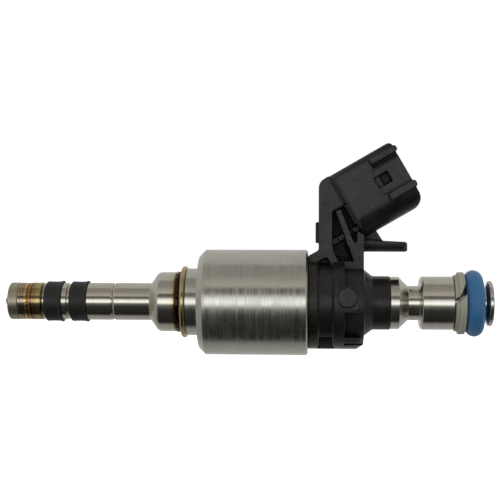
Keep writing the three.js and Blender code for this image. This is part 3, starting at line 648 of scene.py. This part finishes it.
def spring(node, front, rear, radius, wire, turns):
    """A helix whose end turns lie flat."""
    steps, sides, closed_turns = int(turns * 40), 14, 0.75
    vertices, faces = [], []
    low, high = front + wire / 2, rear - wire / 2
    flat = 0.02 + 0.6 * wire / (high - low)
    for i in range(steps + 1):
        turn = turns * i / steps
        share = np.interp(turn, [0, closed_turns, turns - closed_turns, turns], [0, flat, 1 - flat, 1])
        x, angle = low + (high - low) * share, 2 * math.pi * turn
        for k in range(sides):
            t = 2 * math.pi * k / sides
            r = radius + wire / 2 * math.cos(t)
            vertices.append((x + wire / 2 * math.sin(t), r * math.sin(angle), r * math.cos(angle)))
    for i in range(steps):
        for k in range(sides):
            a, b = i * sides + k, i * sides + (k + 1) % sides
            faces.append([a, b, b + sides, a + sides])
    faces += [list(range(sides)), list(range(steps * sides, (steps + 1) * sides))]
    place(smooth_shaded(outwards(new_object(node, vertices, faces)), 50), node)


# ---------------------------------------------------------------- solenoid


def solenoid():
    place(lathe("solenoid_can", [
        (0, 6.67, 0.1), (0, 9.05, 0.15), (1.2, 10.25, 0.35), (20.72, 10.25, 0.1), (21.03, 9.95, 0.08),
        (21.03, 8.8), (2.0, 8.8), (2.0, 6.67),
    ], steps=192), "solenoid_can")
    place(lathe("pole_core", [
        (8.35, 2.15, 0.1), (8.35, 4.25, 0.1), (10.3, 4.25), (10.3, 5.4), (19.3, 5.4, 0.1), (19.3, 2.15),
    ], steps=96), "pole_core")
    place(lathe("non_magnetic_ring", [
        (7.65, 4.34), (7.65, 5.4), (10.25, 5.4), (10.25, 4.34),
    ], steps=96), "non_magnetic_ring")
    sleeve = lathe("adjusting_sleeve", [
        (15.5, 1.45), (15.5, 2.05, 0.1), (21.5, 2.05, 0.1), (21.5, 1.45),
    ], steps=64)
    place(smooth_shaded(cut(sleeve, block((14, -0.3, 0.5), (23, 0.3, 3))), 30), "adjusting_sleeve")
    place(lathe("coil_bobbin", [
        (2.1, 5.5), (2.1, 8.6, 0.15), (2.9, 8.6, 0.15), (2.9, 6.1, 0.15), (16.5, 6.1, 0.15),
        (16.5, 8.6, 0.15), (17.3, 8.6, 0.15), (17.3, 5.5),
    ], steps=96), "coil_bobbin")
    front, rear, inner, outer, turns = 3.0, 16.4, 6.2, 8.08, 30
    pitch = (rear - front) / turns
    round_top = [pitch / 2 * np.array([math.cos(t), math.sin(t)]) for t in np.radians([165, 130, 90, 50, 15])]
    wires = []
    for k in range(turns):
        centre = front + pitch * (k + 0.5)
        wires += [(centre + along_x, outer + up, 0) for along_x, up in round_top]
    place(lathe("coil_winding", [(front, inner, 0), *wires, (rear, inner, 0)], steps=96), "coil_winding")
    washer = lathe("flux_washer", [(17.4, 5.5), (17.4, 8.7, 0.1), (20.0, 8.7, 0.1), (20.0, 5.5)], steps=96)
    place(smooth_shaded(cut(washer, block((16, -2.5, 6.4), (21, 2.5, 10))), 30), "flux_washer")


# ---------------------------------------------------------------- fuel inlet


def inlet():
    place(lathe("inlet_tube", [
        (19.4, 2.3), (19.4, 5.4), (20.0, 5.4), (20.0, 4.0), (36.88, 4.0), (36.88, 5.08, 0.08),
        (38.52, 5.08, 0.1), (40.35, 3.35, 0.25), (42.55, 3.35, 0.12), (42.55, 4.6, 0.25),
        (43.0, 5.15, 0.35), (48.9, 5.15, 0.1), (48.9, 3.05), (55.25, 3.05, 0.3), (55.62, 4.42, 0.4),
        (56.5, 4.42, 0.75), (56.5, 2.6, 0.25), (56.2, 2.3, 0.1),
    ]), "inlet_tube")
    rings = lathe("filter_cage", [
        (53.6, 1.75), (53.6, 2.22, 0.1), (55.2, 2.22, 0.1), (55.2, 1.75, 0.1),
    ], steps=72)
    plug = lathe("plug", [(44.0, 0.6), (44.0, 2.0, 0.15), (44.8, 2.0, 0.15), (44.8, 0.6)], steps=72)
    bars = []
    for i in range(3):
        bar = block((44.4, -0.3, 1.78), (54.4, 0.3, 2.12))
        bar.data.transform(Matrix.Rotation(i * 2 * math.pi / 3, 4, "X"))
        bars.append(bar)
    place(smooth_shaded(joined(rings, plug, *bars), 30), "filter_cage")
    place(lathe("filter_mesh", [
        (44.9, 1.5), (44.9, 1.68), (53.5, 1.68), (53.5, 1.5),
    ], steps=72), "filter_mesh")


def backup_ring():
    """A hard ring with a scarf cut, whose upper end has sprung a little out of line."""
    section = drawn([
        (49.2, 3.2), (49.2, 5.43, 0.1), (49.9, 5.46, 0.06), (49.9, 6.0, 0.12), (50.38, 6.0, 0.04),
        (50.45, 5.94, 0.04), (50.52, 6.0, 0.04), (51.18, 6.0, 0.28), (51.18, 3.2),
    ])
    sides, steps = len(section), 200
    vertices = []
    for i in range(steps + 1):
        share = i / steps
        for x, radius in section:
            upper = np.interp(x, [49.2, 49.9, 50.3, 51.18], [13, 15, 22, 43])
            lower = np.interp(x, [49.2, 50.1, 50.6, 51.18], [3.5, 9, 13, 20.5])
            angle = math.radians(upper + (360 + lower - upper) * share)
            sprung = math.exp(-((share * 360 / 90) ** 2))
            x_now, r_now = x - 0.17 * sprung, radius + 0.05 * sprung
            vertices.append((x_now, -r_now * math.cos(angle), r_now * math.sin(angle)))
    faces = [
        [i * sides + k, i * sides + (k + 1) % sides, (i + 1) * sides + (k + 1) % sides, (i + 1) * sides + k]
        for i in range(steps) for k in range(sides)
    ]
    faces += [list(range(sides)), list(range(steps * sides, (steps + 1) * sides))]
    place(smooth_shaded(outwards(new_object("backup", vertices, faces)), 40), "inlet_backup_ring")


def o_ring():
    """A round section, pressed a little oval, with two fine lines that its mould leaves outside and inside.
    It lies slightly askew in its groove."""
    x, middle, width, height = 52.95, 4.75, 1.72, 1.65
    points = []
    for degrees in range(180, -180, -3):
        t = math.radians(degrees)
        lines = sum(0.028 * math.exp(-(((abs(degrees) - at) / 2.5) ** 2)) for at in (82, 93))
        points.append((x + (width + lines) * math.cos(t), middle + (height + lines) * math.sin(t), 0))
    # A bulge, even of nothing, has lathe shade by angle. Normals set from the outline would be wrong once
    # it's skewed.
    ring = lathe("inlet_o_ring", points, steps=180, bulge=lambda x, angle: 0.0)
    for vertex in ring.data.vertices:
        vertex.co.x -= 0.018 * vertex.co.z
    place(ring, "inlet_o_ring")


# ---------------------------------------------------------------- connector

HALF = 4.3  # half the bracket's width
SHELL_FRONT = 21.1
# The plug in its own axes: back and mouth along u, lower and upper edge in v, half its width, and its wall
PLUG_BACK, PLUG_MOUTH = 25.75, 38.82
PLUG_LOW, PLUG_HIGH, PLUG_SIDE = -0.15, 13.4, 4.75
PLUG_WALL = 1.5


def plug_section(inset):
    low, high, side = PLUG_LOW + inset, PLUG_HIGH - inset, PLUG_SIDE - inset
    wide, tight = 4.2 - inset, max(1.3 - inset, 0.3)
    return drawn([(low, -side, wide), (low, side, wide), (high, side, tight), (high, -side, tight)], step=8)


def barrel():
    return lathe("barrel", [
        (20.1, 4.1), (20.1, 8.65), (21.1, 8.65), (21.1, 8.95), (22.92, 8.95), (22.92, 8.6), (23.2, 8.56),
        (23.2, 8.35), (25.75, 8.35), (25.75, 8.56), (26.03, 8.6), (26.03, 8.95), (28.0, 8.95), (28.0, 7.95),
        (31.75, 7.9), (31.85, 6.45), (33.5, 5.2), (36.83, 5.2), (36.83, 4.1),
    ], soft=0, steps=192)


def rear_pads():
    band = kept(
        lathe("band", [(27.8, 7.5), (27.8, 8.95), (31.85, 8.95), (31.85, 7.5)], soft=0, steps=192),
        lathe("limit", [
            (27, 0), (27, 9.9), (28.0, 9.9), (30.4, 8.95), (31.8, 8.05), (33, 7.4), (33, 0),
        ], soft=0, steps=192),
    )
    regions = joined(
        block((27.7, -10, -1.52), (33, -5, 3.53)), block((27.7, 5, -1.52), (33, 10, 3.53)),
        block((27.7, -5.4, -10), (33, 5.4, -8.12)), block((27.7, -7, -7.52), (31.1, 7, -7.2)),
        block((27.7, -7, -6.89), (31.1, 7, -6.57)),
    )
    return kept(band, regions)


def bracket():
    outline = drawn([
        (SHELL_FRONT, 5), (SHELL_FRONT, 9.1, 0.3), (23.1, 10.2, 0.5), (23.1, 23.2, 2.0), (24.8, 24.3, 0.6),
        plug_point(26.7, 12.8), plug_point(26.7, 0.85), (31.75, 13.25), (31.75, 5),
    ])
    solid = extruded(outline, -HALF, HALF)
    beside_post = drawn([
        (25.72, 10.9, 0.3), (25.72, 17.63, 0.2), plug_point(25.35, 7.27), plug_point(25.35, 3), (32.9, 15.2),
        (32.9, 12.95), (31.76, 13.2), (30.96, 13.62), (30.5, 13.95, 0.15), (30.48, 11.8, 0.25), (30.1, 11.6),
        (30.1, 8.0), (26.85, 8.0), (26.1, 9.6, 0.3),
    ])
    between_feet = drawn([(22.95, 6.4), (22.95, 8.0), (24.75, 8.85), (25.9, 6.65)], 0.12)
    pockets = []
    for pocket, floor in ((beside_post, 1.0), (between_feet, HALF - 1)):
        pockets += both_sides(lambda low, high, p=pocket: extruded(p, low, high), floor, HALF + 3)
    strut = extruded(drawn([
        (26.37, 17.72, 0.1), (27.31, 18.1, 0.1), (29.65, 12.1, 0.3), (30.3, 11.5), (30.3, 7.8), (30.02, 7.8),
    ]), -HALF, HALF)
    ridge = extruded([(28.02, 11.6), (28.2, 11.6), (29.4, 8.0), (29.2, 8.0)], -2.3, 2.3)
    boss = extruded(drawn([(22.5, 11.6), (22.5, 15.6), (23.4, 15.6), (23.4, 11.6)], 0.15), -2.6, 2.6)
    bar = extruded(drawn([(18.4, 1.55), (18.4, 2.6), (25.6, 2.6), (25.6, 1.55)], 0.12), -3.1, 3.1, in_plug)
    notches = []
    for u in (20.85, 21.65, 24.0):
        notches += both_sides(lambda low, high, u=u: extruded(
            [(u, 1), (u, 3), (u + 0.2, 3), (u + 0.2, 1)], low, high, in_plug), 2.6, 4)
    return joined(cut(solid, *pockets), strut, ridge, boss, cut(bar, *notches))


def clocking_arm():
    finger = extruded(drawn([
        (31.5, 9.95), (31.5, 12.25), (40.1, 11.83, 0.5), (40.1, 9.95, 0.4),
    ]), -2.4, 2.4)
    groove = drawn([(31, 10.5), (31, 10.86), (39.4, 10.86, 0.15), (39.4, 10.5, 0.15)])
    step = [(31, 11.22), (31, 13), (39.7, 12.6), (39.7, 11.2)]
    finger = cut(
        finger, *both_sides(lambda low, high: extruded(groove, low, high), 2.1, 3),
        *both_sides(lambda low, high: extruded(step, low, high), 2.18, 3),
    )
    gusset = extruded([(31.5, 12.0), plug_point(26.2, 0.3), plug_point(28.2, 0.3), (35.5, 12.0)], -1.6, 1.6)
    return joined(finger, gusset)


def lip_relief(edge, way, size):
    """What is taken off one lip of the plug so that it ends in a round."""
    start, beyond = PLUG_MOUTH - size, 40
    corner = [(start, edge - way)]
    for t in np.radians(range(-90, 1, 10)):
        corner.append((start + size * math.cos(t), edge + way * size * (1 + math.sin(t))))
    corner += [(beyond, edge + way * size), (beyond, edge - way)]
    return extruded([plug_point(u, v) for u, v in corner], -6, 6)


def plug_shell():
    shell = extruded(plug_section(0), PLUG_BACK, PLUG_MOUTH, across_plug)
    flange = extruded(drawn([
        (25.28, 7.3), (25.28, 13.05, 0.4), (26.2, 13.05), (26.2, 7.3),
    ]), -4.55, 4.55, in_plug)
    rear_edge = drawn([(25.75, 1.6), (25.75, 12.9), (26.05, 12.9), (26.05, 1.6)])
    ribs = both_sides(lambda low, high: extruded(rear_edge, low, high, in_plug), 4.5, 4.93)
    for low, high in ((11.15, 12.44), (3.4, 4.85)):
        outline = drawn([(33.45, low, 0.12), (33.45, high, 0.12), (39.27, high, 0.6), (39.27, low, 0.6)])
        ribs += both_sides(lambda y0, y1, o=outline: extruded(o, y0, y1, in_plug), 4.25, 5.35)
    groove = drawn([(33.4, 10.46), (33.4, 11.35), (40, 11.35), (40, 10.46)], 0.1)
    panel = drawn([(32.75, 5.0), (32.75, 10.2), (40, 10.2), (40, 5.0)], 0.15)
    hook = [(32.5, 4.9), (32.55, 4.3), (32.85, 4.35), (33.6, 4.5), (33.68, 3.45), (35.5, 3.45), (35.55, 4.9)]
    cutters = [lip_relief(PLUG_LOW, 1, 2.3), lip_relief(PLUG_HIGH, -1, 0.9)]
    for sign in (-1, 1):
        cutters.append(extruded([(u, sign * y) for u, y in hook], 6.6, 8.8, along_plug))
    for outline, depth in ((groove, 4.3), (panel, 4.65)):
        cutters += both_sides(lambda low, high, o=outline: extruded(o, low, high, in_plug), depth, 6)
    cavity = extruded(plug_section(PLUG_WALL), 28.05, 41, across_plug)
    return joined(cut(shell, *cutters, cavity), flange, *ribs)


def connector():
    spine = extruded([
        (SHELL_FRONT, -7.5), (SHELL_FRONT, -8.95), (30.4, -8.95), (31.8, -8.05), (31.8, -7),
    ], -1, 1)
    disc = extruded(circle(28.53, 1.31, 1.8, 72), -9.15, -7.5)
    tab = extruded([(29.6, -0.5), (29.95, -0.25), (30.5, -0.8), (30.1, -1.15)], -8.95, -8.0)
    moat = extruded(circle(28.53, 1.31, 1.95, 72), -10, -8.6)
    round_part = cut(joined(barrel(), spine, rear_pads()), moat)
    windows = both_sides(lambda low, high: block((23.2, low, -10), (25.75, high, -6.25)), 1.0, 7)
    round_part = cut(round_part, *windows)
    whole = joined(round_part, disc, tab, bracket(), clocking_arm(), plug_shell())
    bore = lathe("bore", [(19, 0), (19, 4.1), (38, 4.1), (38, 0)], soft=0, steps=96)
    whole = cut(whole, bore)
    place(moulded(whole, voxel=0.11, share=0.16), "connector_overmould")


def terminals():
    """Each lead runs along X, up through the post, across to the middle and out to its blade."""
    middle = (PLUG_LOW + PLUG_HIGH) / 2
    half, thick, post_x, level, out = 0.6, 0.3, 24.42, 7.4, 1.5
    for name, side, v in (("upper", 1, middle + 2.2), ("lower", -1, middle - 2.2)):
        blade = extruded(drawn([
            (26.2, v - 1.1), (26.2, v + 1.1), (32.3, v + 1.1, 0.15), (33.0, v + 0.6, 0.2),
            (33.0, v - 0.6, 0.2), (32.3, v - 1.1, 0.15),
        ]), -thick, thick, in_plug)
        place(bevelled(blade, 0.08), f"terminal_blade_{name}")
        y, front, rear = side * out, post_x - half, post_x + half
        turn_z = (v + (post_x - PLUG_X) * math.sin(TILT)) / math.cos(TILT)
        turn_u = (post_x - PLUG_X) * math.cos(TILT) + turn_z * math.sin(TILT)
        top = turn_z + half
        upright = extruded([
            (17.4, level - half), (17.4, level + half), (front, level + half), (front, top), (rear, top),
            (rear, level - half),
        ], y - thick, y + thick)
        jog = block((front, min(y, 0) - thick, turn_z - half), (rear, max(y, 0) + thick, top))
        strip = extruded([
            (turn_u, v - half), (turn_u, v + half), (25.9, v + half), (25.9, v - half),
        ], -thick, thick, in_plug)
        place(bevelled(joined(upright, jog, strip), 0.05), f"coil_lead_{name}")


# ---------------------------------------------------------------- studio


STUDIO_STRENGTH = 2.4
# What stands round the injector's axis, in degrees: 0 is the camera's side and 90 is overhead. Each is
# (first edge, last edge, light at the first edge, light at the last edge, share of blue).
STUDIO = (
    (-180, -100, 0.6, 0.3, 1.0),  # wall behind, below the axis
    (-86, -30, 0.02, 0.04, 1.0),  # dark floor
    (-20, -10, 0.1, 0.25, 1.04),  # floor in front
    (-1, 11, 1.7, 1.2, 1.04),  # softbox
    (20, 31, 0.2, 0.1, 0.94),  # gap above the softbox
    (36, 47, 0.6, 0.5, 0.9),  # overhead light
    (60, 89, 0.35, 0.3, 0.92),  # ceiling
    (95, 180, 0.5, 0.6, 0.98),  # wall behind, above the axis
)


def world_light():
    """A dim room with a softbox in front: what shines in the metal depends on where the light comes from."""
    world = bpy.data.worlds.new("studio")
    bpy.context.scene.world = world
    world.use_nodes = True
    tree = world.node_tree
    tree.nodes.clear()
    link = tree.links.new

    def math_node(operation, a, b=None):
        node = tree.nodes.new("ShaderNodeMath")
        node.operation = operation
        for socket, value in zip(node.inputs, (a, b)):
            if isinstance(value, bpy.types.NodeSocket):
                link(value, socket)
            elif value is not None:
                socket.default_value = value
        return node.outputs[0]

    def share(value, low, high, kind="LINEAR"):
        node = tree.nodes.new("ShaderNodeMapRange")
        node.interpolation_type = kind
        link(value, node.inputs[0])
        node.inputs[1].default_value = low
        node.inputs[2].default_value = high
        return node.outputs[0]

    def mixed(factor, one, other):
        node = tree.nodes.new("ShaderNodeMix")
        node.data_type = "RGBA"
        link(factor, node.inputs[0])
        for socket, value in zip((node.inputs[6], node.inputs[7]), (one, other)):
            if isinstance(value, bpy.types.NodeSocket):
                link(value, socket)
            else:
                socket.default_value = value
        return node.outputs[2]

    direction = tree.nodes.new("ShaderNodeTexCoord").outputs["Generated"]
    parts = tree.nodes.new("ShaderNodeSeparateXYZ")
    link(direction, parts.inputs[0])
    x, y, z = parts.outputs
    around = math_node("ARCTAN2", z, math_node("MULTIPLY", y, -1.0))
    turn = math_node("ADD", math_node("DIVIDE", around, 2 * math.pi), 0.5)
    ramp = tree.nodes.new("ShaderNodeValToRGB")
    elements = ramp.color_ramp.elements
    edges = []
    for first, last, near, far, blue in STUDIO:
        edges += [(first, near, blue), (last, far, blue)]
    while len(elements) < len(edges):
        elements.new(0.5)
    for element, (degrees, level, blue) in zip(elements, edges):
        element.position = degrees / 360 + 0.5
    for element, (degrees, level, blue) in zip(elements, edges):
        light = level / STUDIO_STRENGTH
        element.color = (light, light * (0.5 + 0.5 * blue), light * blue, 1)
    link(turn, ramp.inputs["Fac"])
    to_the_ends = math_node("MAXIMUM", math_node("MULTIPLY", x, -1.0), math_node("MULTIPLY", x, 0.65))
    ends = mixed(share(z, -0.6, 0.6), (0.13, 0.13, 0.125, 1), (0.23, 0.228, 0.22, 1))
    room = mixed(share(to_the_ends, 0.45, 0.8, "SMOOTHSTEP"), ramp.outputs["Color"], ends)
    lit = tree.nodes.new("ShaderNodeBackground")
    link(room, lit.inputs["Color"])
    lit.inputs["Strength"].default_value = STUDIO_STRENGTH
    plain = tree.nodes.new("ShaderNodeBackground")
    plain.inputs["Color"].default_value = (1, 1, 1, 1)
    seen = tree.nodes.new("ShaderNodeLightPath").outputs["Is Camera Ray"]
    choose = tree.nodes.new("ShaderNodeMixShader")
    link(seen, choose.inputs[0])
    link(lit.outputs[0], choose.inputs[1])
    link(plain.outputs[0], choose.inputs[2])
    output = tree.nodes.new("ShaderNodeOutputWorld")
    link(choose.outputs[0], output.inputs["Surface"])


def floor():
    size, drop = 3.0, -0.07
    corners = [(-size, -size, drop), (size, -size, drop), (size, size, drop), (-size, size, drop)]
    plane = new_object("floor", corners, [[0, 1, 2, 3]])
    f = Finish("floor", Roughness=0.8)
    f.set("Base Color", f.span(f.noise(f.scaled(0.01, 0.01, 0.01)), 0.3, 0.7, 0.86, 0.9))
    f.shader.inputs["Emission Color"].default_value = (1, 1, 1, 1)
    f.shader.inputs["Emission Strength"].default_value = 0.9
    plane.data.materials.append(f.material)
    plane.visible_glossy = False
    plane.visible_diffuse = False


def camera():
    """Level with the upper half of the injector, a little to the inlet's side of the can."""
    distance, azimuth, view = 221.6, math.radians(3.5), math.radians(24.9)
    aim = Vector((9.7, 0, 10.2))
    eye = aim + distance * Vector((math.sin(azimuth), -math.cos(azimuth), 0))
    data = bpy.data.cameras.new("camera")
    data.sensor_width = 36
    data.lens = data.sensor_width / 2 / math.tan(view / 2)
    data.clip_start = 0.01
    obj = bpy.data.objects.new("camera", data)
    facing = (aim - eye).to_track_quat("-Z", "Y").to_matrix().to_4x4()
    roll = Matrix.Rotation(math.radians(0.17), 4, "Z")
    obj.matrix_world = Matrix.Translation(eye * MM) @ facing @ roll
    bpy.context.scene.collection.objects.link(obj)
    bpy.context.scene.camera = obj


camera()
world_light()
floor()
valve_group()
spring("armature_spring", 1.55, 3.35, 1.75, 0.35, 2.5)
# The return spring starts 0.1 mm behind its CAD solid. It doesn't shorten as the needle lifts, and the collar
# would cut into it.
spring("return_spring", 9.15, 15.45, 1.5, 0.5, 6)
solenoid()
inlet()
backup_ring()
o_ring()
connector()
terminals()
bpy.context.scene.view_settings.view_transform = "Standard"
